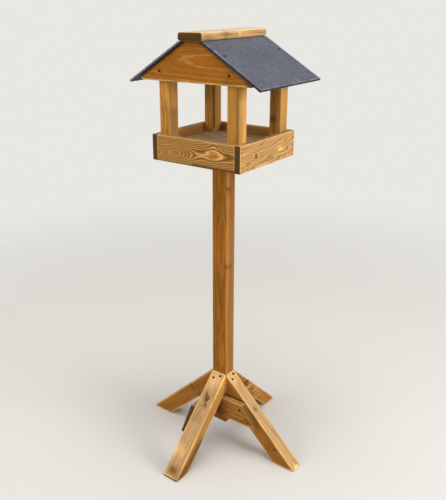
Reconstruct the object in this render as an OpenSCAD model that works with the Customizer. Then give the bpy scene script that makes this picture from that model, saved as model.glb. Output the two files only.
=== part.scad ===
// Bird table: a post on four sloping legs carries a shallow tray,
// and four uprights in the tray's corners carry a two-slate roof.
// X runs across the gables, Y along the ridge, Z up. The origin lies on
// the ground under the post's axis.

/* [Post and legs] */
// Broad side of the stock of the post and legs. It lies across X on the post
frame_w = 55; // [40:1:66]
// Narrow side of the same stock. It lies along Y on the post
frame_t = 43; // [34:1:60]
// Height of the post's lower end above the ground
post_clear = 70; // [40:1:95]
// Distance from the post's face to the toe of each leg
leg_run = 263; // [220:1:330]
// Slope of the legs from level, in degrees
leg_slope = 43.5; // [38:0.5:52]
// Height of the blunt upright face at each toe
toe_h = 6; // [2:1:15]

/* [Struts] */
// Thickness of the struts
strut_t = 19; // [12:1:25]
// Height of the struts on edge
strut_h = 70; // [40:1:80]
// Slope of the cut at each strut's outer end, in degrees
strut_cut = 52; // [45:1:90]
// Distance of a strut's top corner inside its leg's upper face
strut_set_in = 6; // [0:1:12]
// Gap between a strut's top edge and the leg above it
strut_gap = 1; // [1:1:12]

/* [Tray] */
// Height of the tray's rim above the ground
rim_z = 1061; // [800:1:1400]
// Overall width of the tray, along X
tray_w = 312; // [260:1:400]
// Overall depth of the tray, along Y
tray_d = 286; // [240:1:400]
// Height of the tray's boards
tray_h = 77; // [60:1:100]
// Thickness of the tray's boards
board_t = 17; // [12:1:24]
// Drop from the rim to the floor's upper face
floor_drop = 26; // [15:1:40]
// Thickness of the floor
floor_t = 18; // [9:1:24]
// Gap between the floor's edge and the boards and uprights round it
floor_gap = 0.5; // [0.2:0.1:0.9]
// Width of the two bearers under the floor
bearer_w = 66; // [30:1:80]

/* [Uprights and gables] */
// Side of the square uprights
upright_w = 38; // [25:1:45]
// Height of the open space from the tray's rim to the gables
feed_h = 156; // [120:1:250]
// Gap between an upright's sloping top and the slate over it
upright_gap = 2; // [1:0.5:6]
// Thickness of the gable boards
gable_t = 19; // [12:1:25]
// Reach of the gable boards past the uprights on each side
gable_over = 51; // [40:1:70]
// Height of the short upright cut at each gable's ends
gable_end_h = 12; // [4:1:30]

/* [Roof] */
// Pitch of the slates, in degrees
pitch = 31.5; // [25:0.5:42]
// Thickness of the slates
slate_t = 7; // [4:0.5:12]
// Reach of the slates past the gables' ends, at the eaves
eave_over = 37; // [15:1:60]
// Reach of the slates past the gables' faces, at the front and the back
verge_over = 11; // [2:1:30]
// Gap between a slate and the pieces under and over it
bed_gap = 0.1; // [0.05:0.05:0.3]
// Width of the ridge cap
cap_w = 84; // [64:1:110]
// Thickness of the ridge cap
cap_t = 24; // [15:1:35]
// Reach of the ridge cap past the slates, at the front and the back
cap_over = 5; // [0:1:10]

/* [Screws and nails] */
// Diameter of a screw's head
head_d = 8; // [5:0.5:10]
// Thickness of a screw's head
head_t = 2; // [1:0.5:3]
// Depth of the hole that a screw's head is sunk into
sink_depth = 3; // [1:0.5:5]
// Gap round a screw's head in its hole
sink_gap = 0.3; // [0.1:0.1:0.6]
// Diameter of the small nail heads in the tray's side boards
pin_d = 3.5; // [2:0.5:6]
// Diameter of a slate nail's head
nail_d = 9; // [6:0.5:12]
// Thickness of a slate nail's head
nail_t = 1.2; // [0.8:0.1:2]
// Inset of a floor screw from the tray's front or back board
floor_screw_in = 9; // [7:1:14]
// Distance of the inner floor screws from the tray's middle, along Y
floor_screw_y = 68; // [50:1:90]
// Distance of the slate nails from the middle, along X
nail_x = 100; // [80:1:130]
// Height of the gables' screws above the gables' lower edge
gable_screw_up = 27; // [15:1:40]
// Distance of the screw near a strut's end from the strut's top corner, level
end_screw_in = 9; // [6:1:15]
// Distance of the screw near a strut's end from the strut's top edge
end_screw_down = 20; // [12:1:30]

/* [Hidden] */
$fn = 32;

// Turns that carry the +X leg and its strut round to each side
RIGHT = 0;
BACK = 90;
LEFT = 180;
FRONT = 270;
TURNS = [RIGHT, BACK, LEFT, FRONT];
SIDES = [-1, 1];

// Legs: each is as wide as the post's face that it stands on, so the stock's
// other side is its thickness, square to its slope
function along_x(turn) = turn == RIGHT || turn == LEFT;
function leg_w(turn) = along_x(turn) ? frame_t : frame_w;
function leg_t(turn) = along_x(turn) ? frame_w : frame_t;
// Distance of the post's face from its axis, toward a leg
function face_x(turn) = leg_t(turn) / 2;
// Heights of a leg's upper and lower face where they meet the post
leg_rise = tan(leg_slope);
leg_top_z = toe_h + leg_run * leg_rise;
function leg_low_z(thick) = leg_top_z - thick / cos(leg_slope);
// Screws in a leg's upper face: distance down the slope, and share of the width
leg_screws_at = [[11.5, 0.18], [24, -0.2]];

// Struts: each one's outer top edge runs just under the next leg, whose
// thickness is this leg's width
function strut_top(turn) = leg_low_z(leg_w(turn)) - strut_t * leg_rise - strut_gap;
function strut_low(turn) = strut_top(turn) - strut_h;
function strut_tip_x(turn) =
    face_x(turn) + (leg_top_z - strut_top(turn)) / leg_rise - strut_set_in;
// Screws in a strut's outer face: one into its leg, two into the post
function strut_screws_at(turn) = [
    [strut_tip_x(turn) - end_screw_in, strut_top(turn) - end_screw_down],
    [-face_x(turn) / 2, strut_low(turn) + 0.3 * strut_h],
    [face_x(turn) / 2, strut_low(turn) + 0.7 * strut_h]
];

// Tray levels and its inside
tray_low = rim_z - tray_h;
floor_top = rim_z - floor_drop;
floor_low = floor_top - floor_t;
in_w = tray_w - 2 * board_t;
in_d = tray_d - 2 * board_t;
bearer_h = floor_low - tray_low;
floor_screw_x = frame_w / 2 + bearer_w / 2;
floor_screw_ys = [floor_screw_y, in_d / 2 - floor_screw_in];
notch_w = upright_w + floor_gap;
// Heights of the nails in a side board, above the board's lower edge
tray_nails_up = [0.24 * tray_h, 0.76 * tray_h];

// Roof: the slates lie along the gables' sloping edges and end level under the
// cap, a plain board that stands on the gables' tops
gable_z = rim_z + feed_h;
gable_w = in_w + 2 * gable_over;
roof_w = gable_w + 2 * eave_over;
slate_d = in_d + 2 * gable_t + 2 * verge_over;
cap_d = slate_d + 2 * cap_over;
slope = tan(pitch);
slate_h = slate_t / cos(pitch);
function gable_edge_z(x) = gable_z + gable_end_h + (gable_w / 2 - x) * slope;
function under_z(x) = gable_edge_z(x) + bed_gap;
function over_z(x) = under_z(x) + slate_h;
cap_z = over_z(cap_w / 2) + bed_gap;
gable_top_x = gable_w / 2 - (cap_z - gable_z - gable_end_h) / slope;
slate_top_z = cap_z - bed_gap;
slate_end_x = cap_w / 2 - slate_h / slope;
gable_y = in_d / 2 + gable_t / 2;
upright_in_x = in_w / 2 - upright_w;
gable_screw_x = in_w / 2 - upright_w / 2;
gable_screw_z = gable_z + gable_screw_up;

// An outline in X and Z, given a thickness along Y about the middle
module upright_slab(points, thick) {
    rotate([90, 0, 0])
        linear_extrude(thick, center = true)
            polygon(points);
}

// The hole for a sunk head, opening at z = 0
module sink(d = head_d) {
    translate([0, 0, -sink_depth])
        cylinder(d = d + 2 * sink_gap, h = sink_depth + 1);
}

// A head seated on the bottom of its hole
module sunk_head(d = head_d) {
    translate([0, 0, -sink_depth])
        cylinder(d = d, h = head_t);
}

// Places of the screws and nails, with z = 0 on the face that they go into
module at_leg_screws(turn) {
    for (p = leg_screws_at)
        translate([face_x(turn), p[1] * leg_w(turn), leg_top_z])
            rotate([0, leg_slope, 0])
                translate([p[0], 0, 0])
                    children();
}

module at_strut_screws(turn) {
    for (p = strut_screws_at(turn))
        translate([p[0], -leg_w(turn) / 2 - strut_t, p[1]])
            rotate([90, 0, 0])
                children();
}

module at_floor_screws() {
    for (sx = SIDES, sy = SIDES, y = floor_screw_ys)
        translate([sx * floor_screw_x, sy * y, floor_top])
            children();
}

module at_tray_nails(side) {
    for (sy = SIDES, up = tray_nails_up)
        translate([side * tray_w / 2, sy * (tray_d - board_t) / 2, tray_low + up])
            rotate([0, side * 90, 0])
                children();
}

module at_gable_screws(side) {
    for (sx = SIDES)
        translate([sx * gable_screw_x, side * (in_d / 2 + gable_t), gable_screw_z])
            rotate([-side * 90, 0, 0])
                children();
}

module at_cap_screws() {
    for (sy = SIDES)
        translate([0, sy * gable_y, cap_z + cap_t])
            children();
}

// Sub-parts

module post() {
    color("peru")
        translate([-frame_w / 2, -frame_t / 2, post_clear])
            cube([frame_w, frame_t, floor_low - post_clear]);
}

module leg(turn) {
    face = face_x(turn);
    low_z = leg_low_z(leg_t(turn));
    color("burlywood")
        rotate([0, 0, turn])
            difference() {
                upright_slab([
                    [face, leg_top_z], [face + leg_run, toe_h], [face + leg_run, 0],
                    [face + low_z / leg_rise, 0], [face, low_z]
                ], leg_w(turn));
                at_leg_screws(turn) sink();
            }
}

module strut(turn) {
    inner = -face_x(turn);
    tip = strut_tip_x(turn);
    top = strut_top(turn);
    low = strut_low(turn);
    color("tan")
        rotate([0, 0, turn])
            difference() {
                translate([0, -leg_w(turn) / 2 - strut_t / 2, 0])
                    upright_slab([
                        [inner, low], [tip + strut_h / tan(strut_cut), low],
                        [tip, top], [inner, top]
                    ], strut_t);
                at_strut_screws(turn) sink();
            }
}

module bearer(side) {
    color("tan")
        translate([side * floor_screw_x, 0, tray_low + bearer_h / 2])
            cube([bearer_w, in_d, bearer_h], center = true);
}

// The floor is notched round the uprights
module tray_floor() {
    color("rosybrown")
        difference() {
            translate([0, 0, floor_low])
                linear_extrude(floor_t)
                    difference() {
                        square([in_w - 2 * floor_gap, in_d - 2 * floor_gap], center = true);
                        for (sx = SIDES, sy = SIDES)
                            translate([sx * in_w / 2, sy * in_d / 2])
                                square(2 * notch_w, center = true);
                    }
            at_floor_screws() sink();
        }
}

module tray_side(side) {
    color("peru")
        difference() {
            translate([side * (tray_w - board_t) / 2, 0, tray_low + tray_h / 2])
                cube([board_t, tray_d, tray_h], center = true);
            at_tray_nails(side) sink(pin_d);
        }
}

module tray_end(side) {
    color("peru")
        translate([0, side * (tray_d - board_t) / 2, tray_low + tray_h / 2])
            cube([in_w, board_t, tray_h], center = true);
}

module upright(side_x, side_y) {
    color("sandybrown")
        translate([0, side_y * (in_d - upright_w) / 2, 0])
            upright_slab([
                [side_x * upright_in_x, tray_low], [side_x * in_w / 2, tray_low],
                [side_x * in_w / 2, under_z(in_w / 2) - upright_gap],
                [side_x * upright_in_x, under_z(upright_in_x) - upright_gap]
            ], upright_w);
}

module gable(side) {
    color("peru")
        difference() {
            translate([0, side * gable_y, 0])
                upright_slab([
                    [-gable_w / 2, gable_z], [gable_w / 2, gable_z],
                    [gable_w / 2, gable_edge_z(gable_w / 2)], [gable_top_x, cap_z],
                    [-gable_top_x, cap_z], [-gable_w / 2, gable_edge_z(gable_w / 2)]
                ], gable_t);
            at_gable_screws(side) sink();
        }
}

module slate(side) {
    eave_x = roof_w / 2 - slate_t * sin(pitch);
    color("dimgray")
        upright_slab([
            [side * slate_end_x, slate_top_z], [side * eave_x, under_z(eave_x)],
            [side * roof_w / 2, over_z(roof_w / 2)], [side * cap_w / 2, slate_top_z]
        ], slate_d);
}

module ridge_cap() {
    color("sandybrown")
        difference() {
            translate([0, 0, cap_z + cap_t / 2])
                cube([cap_w, cap_d, cap_t], center = true);
            at_cap_screws() sink();
        }
}

module leg_screws() {
    color("gray")
        for (turn = TURNS)
            rotate([0, 0, turn])
                at_leg_screws(turn) sunk_head();
}

module strut_screws() {
    color("gray")
        for (turn = TURNS)
            rotate([0, 0, turn])
                at_strut_screws(turn) sunk_head();
}

module floor_screws() {
    color("gray")
        at_floor_screws() sunk_head();
}

module tray_nails() {
    color("gray")
        for (side = SIDES)
            at_tray_nails(side) sunk_head(pin_d);
}

module gable_screws() {
    color("gray")
        for (side = SIDES)
            at_gable_screws(side) sunk_head();
}

module cap_screws() {
    color("gray")
        at_cap_screws() sunk_head();
}

module slate_nails() {
    color("gray")
        for (sx = SIDES, sy = SIDES)
            translate([sx * nail_x, sy * gable_y, over_z(nail_x) + bed_gap])
                rotate([0, sx * pitch, 0])
                    cylinder(d = nail_d, h = nail_t);
}

post();
leg(FRONT);  // leg_front
leg(RIGHT);  // leg_right
leg(BACK);  // leg_back
leg(LEFT);  // leg_left
strut(FRONT);  // strut_front
strut(RIGHT);  // strut_right
strut(BACK);  // strut_back
strut(LEFT);  // strut_left
bearer(-1);  // bearer_left
bearer(1);  // bearer_right
tray_floor();
tray_end(-1);  // tray_front
tray_end(1);  // tray_back
tray_side(-1);  // tray_left
tray_side(1);  // tray_right
upright(-1, -1);  // upright_front_left
upright(1, -1);  // upright_front_right
upright(-1, 1);  // upright_back_left
upright(1, 1);  // upright_back_right
gable(-1);  // gable_front
gable(1);  // gable_back
slate(-1);  // slate_left
slate(1);  // slate_right
ridge_cap();
leg_screws();
strut_screws();
floor_screws();
tray_nails();
gable_screws();
cap_screws();
slate_nails();
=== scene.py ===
"""Bird table: the finish of its timbers, slates and fixings, and the studio that shows it.

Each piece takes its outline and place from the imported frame, and is given here what a
joiner's workshop and some seasons outdoors give it: eased arrises, growth rings, knots,
drying cracks, dressed slate edges and cross recesses. Lengths are in metres, apart from
those that are said to be in mm.
"""
import math
from typing import NamedTuple

import bmesh
import bpy
import numpy as np
from mathutils import Matrix, Vector, kdtree, noise


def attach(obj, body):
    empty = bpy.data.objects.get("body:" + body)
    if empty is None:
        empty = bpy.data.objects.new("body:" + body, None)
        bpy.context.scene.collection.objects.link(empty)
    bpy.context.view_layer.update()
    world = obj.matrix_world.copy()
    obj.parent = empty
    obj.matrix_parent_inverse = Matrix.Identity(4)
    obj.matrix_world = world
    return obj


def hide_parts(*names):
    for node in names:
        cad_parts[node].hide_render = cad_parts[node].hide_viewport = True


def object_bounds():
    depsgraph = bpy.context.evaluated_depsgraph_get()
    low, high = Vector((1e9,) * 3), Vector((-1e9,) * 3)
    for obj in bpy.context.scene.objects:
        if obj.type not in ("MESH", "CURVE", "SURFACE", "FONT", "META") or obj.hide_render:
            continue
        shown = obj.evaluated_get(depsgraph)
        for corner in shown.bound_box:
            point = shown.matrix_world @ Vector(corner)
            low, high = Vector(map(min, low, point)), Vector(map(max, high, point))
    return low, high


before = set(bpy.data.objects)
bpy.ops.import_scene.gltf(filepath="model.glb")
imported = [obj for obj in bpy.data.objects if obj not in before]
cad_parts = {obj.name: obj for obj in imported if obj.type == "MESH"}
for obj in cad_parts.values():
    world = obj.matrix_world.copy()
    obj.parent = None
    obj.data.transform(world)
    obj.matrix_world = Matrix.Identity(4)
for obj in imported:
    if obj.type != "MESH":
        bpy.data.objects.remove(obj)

bl_info = {
    "name": "Bird table",
    "version": (1, 0, 0),
    "blender": (4, 5, 0),
    "location": "View3D > Sidebar > Bird table",
    "description": "Finishes a bird table around its packed frame and lights it in a studio",
    "category": "Object",
}

MM = 0.001
BODY = "root"
CAD_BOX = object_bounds()
X_AXIS, Y_AXIS, Z_AXIS = Vector((1, 0, 0)), Vector((0, 1, 0)), Vector((0, 0, 1))
SIDES = ("front", "right", "back", "left")

SAME_CORNER = 0.01 * MM       # corners of the frame's loose triangles this close are one
FLAT = math.radians(0.5)      # faces that meet at less than this are one flat face
SHARP = math.radians(20)      # an outer edge sharper than this is an arris
SMOOTH = math.radians(38)     # an edge flatter than this is shaded smooth


def hex_colour(text):
    """An sRGB hex colour as a linear one."""
    parts = [int(text[i:i + 2], 16) / 255 for i in (1, 3, 5)]
    return tuple(c / 12.92 if c <= 0.04045 else ((c + 0.055) / 1.055) ** 2.4 for c in parts)


# What a user would change

def colour_setting(name, description, text):
    return bpy.props.FloatVectorProperty(
        name=name, description=description, default=hex_colour(text), min=0, max=1,
        subtype="COLOR")


def length_setting(name, description, default_mm, least_mm, most_mm):
    return bpy.props.FloatProperty(
        name=name, description=description, default=default_mm * MM, min=least_mm * MM,
        max=most_mm * MM, unit="LENGTH")


def share_setting(name, description, default, most, least=0):
    return bpy.props.FloatProperty(
        name=name, description=description, default=default, min=least, max=most,
        subtype="FACTOR")


def angle_setting(name, description, degrees):
    return bpy.props.FloatProperty(
        name=name, description=description, default=math.radians(degrees), subtype="ANGLE")


class BirdTableTimber(bpy.types.PropertyGroup):
    """Sizes and colours of the stained softwood"""

    arris: length_setting("Arris", "Radius of the timbers' eased edges", 2, 0.5, 5)
    cap_arris: length_setting("Cap arris", "Radius of the ridge cap's rounded edges", 8, 1, 10)
    worn_width: length_setting("Worn width", "How far the wear reaches in from an arris", 4, 1, 12)
    post: colour_setting("Post", "Stain on the post", "#a0600c")
    leg: colour_setting("Legs", "Stain on the legs' sides", "#a0671e")
    strut: colour_setting("Struts", "Stain on the struts", "#9c6218")
    bearer: colour_setting("Bearers", "Thin stain on the bearers", "#8f6836")
    tray: colour_setting("Tray", "Stain on the tray's boards", "#b47c38")
    upright: colour_setting("Uprights", "Stain on the uprights", "#bf8432")
    gable: colour_setting("Gables", "Orange-brown stain on the gables", "#ac6812")
    cap: colour_setting("Ridge cap", "Thin stain on the ridge cap's sides", "#b78c60")
    floor: colour_setting("Floor", "Bare, weathered wood of the tray's floor", "#caa37a")
    # Also paints sunlight on faces on the +X side
    bleached: colour_setting("Bleached", "Faces that lie open to sun and rain", "#c39d6c")
    bleached_cap: colour_setting("Bleached cap", "The ridge cap's upper face", "#d6c3a3")
    # Also the pale of the arrises' wear and their painted highlight
    pale_line: colour_setting("Pale line", "Hard summer wood that took little stain", "#e6b870")
    dark_line: colour_setting("Dark line", "Soft wood that soaked up the most stain", "#5f390e")
    sawn_end: colour_setting("Sawn end", "End grain", "#50370f")
    sawn_line: colour_setting("Sawn line", "Summer wood on a sawn end", "#755021")
    knot: colour_setting("Knot", "A knot's rim and its cracks", "#3c240f")
    knot_heart: colour_setting("Knot heart", "The red-brown inside of a knot", "#8a5a30")


class BirdTableSlate(bpy.types.PropertyGroup):
    """Sizes and colours of the roofing slates"""

    dressed_width: length_setting(
        "Dressed width", "Width of the chipped margin round a slate", 2.5, 0.5, 8)
    riven_height: length_setting("Riven height", "Height of a step on the split face", 0.35, 0, 1)
    face: colour_setting("Face", "Colour of the split face", "#484a57")
    # Also the colour of the painted light on lit slate edges
    grit: colour_setting("Grit", "Colour of the pale specks and dust", "#83858f")
    # Also the colour of the painted shade on slate edges and undersides
    edge: colour_setting("Edge", "Colour of the chipped edges", "#191a1e")


class BirdTableFixing(bpy.types.PropertyGroup):
    """Sizes and colour of the screws and nails"""

    recess_reach: share_setting(
        "Recess reach", "Reach of the cross recess as a share of the head's radius",
        0.62, 0.8, least=0.3)
    recess_depth: length_setting("Recess depth", "Depth of the cross recess", 1.2, 0.3, 1.8)
    steel: colour_setting("Steel", "Colour of the dulled, browned zinc", "#382f27")


class BirdTableStudio(bpy.types.PropertyGroup):
    """Camera, lamps and floor"""

    camera_at: bpy.props.FloatVectorProperty(
        name="Camera", description="Place of the camera",
        default=(1.094, -1.5202, 1.4279), subtype="TRANSLATION", unit="LENGTH")
    azimuth: angle_setting("Azimuth", "Turn of the camera about the table", 39.294)
    elevation: angle_setting("Elevation", "How far the camera looks down", 18.36)
    roll: angle_setting("Roll", "Tilt of the camera about its own line of sight", -0.937)
    lens: bpy.props.FloatProperty(
        name="Lens", description="Focal length on a 36 mm wide sensor",
        default=45.97, min=10, max=200, subtype="DISTANCE_CAMERA")
    shift: bpy.props.FloatVectorProperty(
        name="Shift", description="Sideways and upward shift of the lens",
        default=(0.0740, -0.0726), size=2)
    side: share_setting("Side", "Share of full light that the low side lamp gives", 0.8, 3)
    top: share_setting("Top", "Share of full light that the overhead lamp gives", 0.6, 3)
    fill: share_setting("Fill", "Share of full light that the front lamp gives", 0.38, 3)
    sky: share_setting("Sky", "Share of full light that comes from all round", 0.4, 2)
    floor: colour_setting("Floor", "Colour of the studio floor", "#d6d3cd")
    backdrop: colour_setting("Backdrop", "Colour seen past the floor", "#e9e7e2")


# Meshes and pieces

def whole_faces(node):
    """A copy of a CAD node's mesh with its corners joined and its flat faces whole."""
    mesh = bmesh.new()
    mesh.from_mesh(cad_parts[node].data)
    bmesh.ops.remove_doubles(mesh, verts=mesh.verts, dist=SAME_CORNER)
    bmesh.ops.dissolve_limit(mesh, angle_limit=FLAT, verts=mesh.verts, edges=mesh.edges)
    return mesh


def is_arris(edge):
    return edge.is_manifold and edge.is_convex and edge.calc_face_angle() > SHARP


def cut_across(mesh, direction, places):
    """Cuts the mesh's faces where they cross planes square to direction."""
    for place in places:
        bmesh.ops.bisect_plane(
            mesh, geom=mesh.verts[:] + mesh.edges[:] + mesh.faces[:],
            dist=SAME_CORNER, plane_co=direction * place, plane_no=direction)


def grid_places(low, high, step, margins=()):
    """Even places between low and high, with closer ones at the margins from both ends."""
    count = max(1, math.ceil((high - low) / step))
    places = [low + (high - low) * i / count for i in range(1, count)]
    places += [low + m for m in margins] + [high - m for m in margins]
    return places


def extent(mesh, direction):
    along = [v.co.dot(direction) for v in mesh.verts]
    return min(along), max(along)


def points_of(mesh):
    """The mesh's points in mm."""
    return np.array([v.co for v in mesh.verts]) / MM


def move_points(mesh, points):
    """Puts the mesh's points at new places in mm."""
    for vertex, place in zip(mesh.verts, points * MM):
        vertex.co = place


def new_object(name, data):
    made = bpy.data.objects.new(name, data)
    bpy.context.scene.collection.objects.link(made)
    return made


def finish_object(mesh, name, material):
    """Turns a bmesh into a smooth-shaded object of that name."""
    data = bpy.data.meshes.new(name)
    mesh.to_mesh(data)
    mesh.free()
    data.polygons.foreach_set("use_smooth", [True] * len(data.polygons))
    data.set_sharp_from_angle(angle=SMOOTH)
    data.materials.append(material)
    return new_object(name, data)


def set_attributes(piece, domain, **fields):
    """Stores one number, or one vector, for each vertex or face, under each field's name."""
    for name, values in fields.items():
        values = np.asarray(values, np.float32)
        kind, item = ("FLOAT", "value") if values.ndim == 1 else ("FLOAT_VECTOR", "vector")
        attribute = piece.data.attributes.new(name, kind, domain)
        attribute.data.foreach_set(item, values.ravel())


def stand_for(piece, node):
    """Places a finished piece on the table's body in the place of its CAD node."""
    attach(piece, BODY)
    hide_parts(node)


# Smooth changes over a piece

# How far apart two seeds' noises are read, and in mm two seeds' grain
NOISE_STEPS, GRAIN_STEPS = (17.3, 5.1, 9.7), np.array([731.0, 97.0, 53.0])


def smoothstep(low, high, value):
    t = np.clip((value - low) / (high - low), 0, 1)
    return t * t * (3 - 2 * t)


def bell(away, spread):
    """1 where away is 0, and falling off smoothly on both sides."""
    return np.exp(-(away / spread) ** 2)


def wobble(points, seed):
    """Smooth noise from -1 to 1 at each point."""
    shift = Vector([seed * step for step in NOISE_STEPS])
    return np.array([noise.noise(Vector(p) + shift) for p in points])


def from_line(points, start, end):
    """Distance of each point from the line between start and end."""
    start, end = np.array(start, float), np.array(end, float)
    run = end - start
    share = np.clip((points - start) @ run / max(run @ run, 1e-9), 0, 1)
    return np.linalg.norm(points - start - np.outer(share, run), axis=1)


def marked(points, ground, marks):
    """The ground value at each point, with the marks added: spots, or streaks with two ends."""
    values = np.full(len(points), float(ground))
    for start, *end, spread, strength in marks:
        away = from_line(points, start, end[0] if end else start)
        values += strength * bell(away, spread)
    return values


# Timbers

class Swell(NamedTuple):
    """A place where the heart comes up to the face, so that the rings close into ovals."""

    place: float              # along the timber from its middle
    spread: float
    rise: float
    lift: float = 0.0         # share by which the lines above are spread apart


class Timber(NamedTuple):
    """How one timber lay in its tree, and its marks, painted shade and light among them. Points
    and sizes are in mm.
    """

    pith: tuple               # the tree's heart, from the timber's middle: across, deep
    ring: float               # width of a year's ring
    seed: int
    phase: float = 0.0        # share of a ring added everywhere
    drift: float = 5.0        # how far the heart wanders along the timber
    lean: float = 0.0         # how far the heart runs across for each mm along
    knots: tuple = ()         # (point, radius)
    swells: tuple = ()
    crack: tuple = ()         # (one end, other end), on a broad face
    tone: float = 0.0         # darker above 0, paler below
    faded_and_sunlit: float = 0.3        # how pale its faces on the sunny side, +X, are: partly sun bleaching, partly painted sunlight
    lines: float = 1.0        # how plainly its rings show
    waver: float = 0.45       # how far its lines wander, in rings
    marks: tuple = ()         # (point or two ends, spread, strength), pale below 0; besides real spots, many are painted shade, shadows and light


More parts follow.
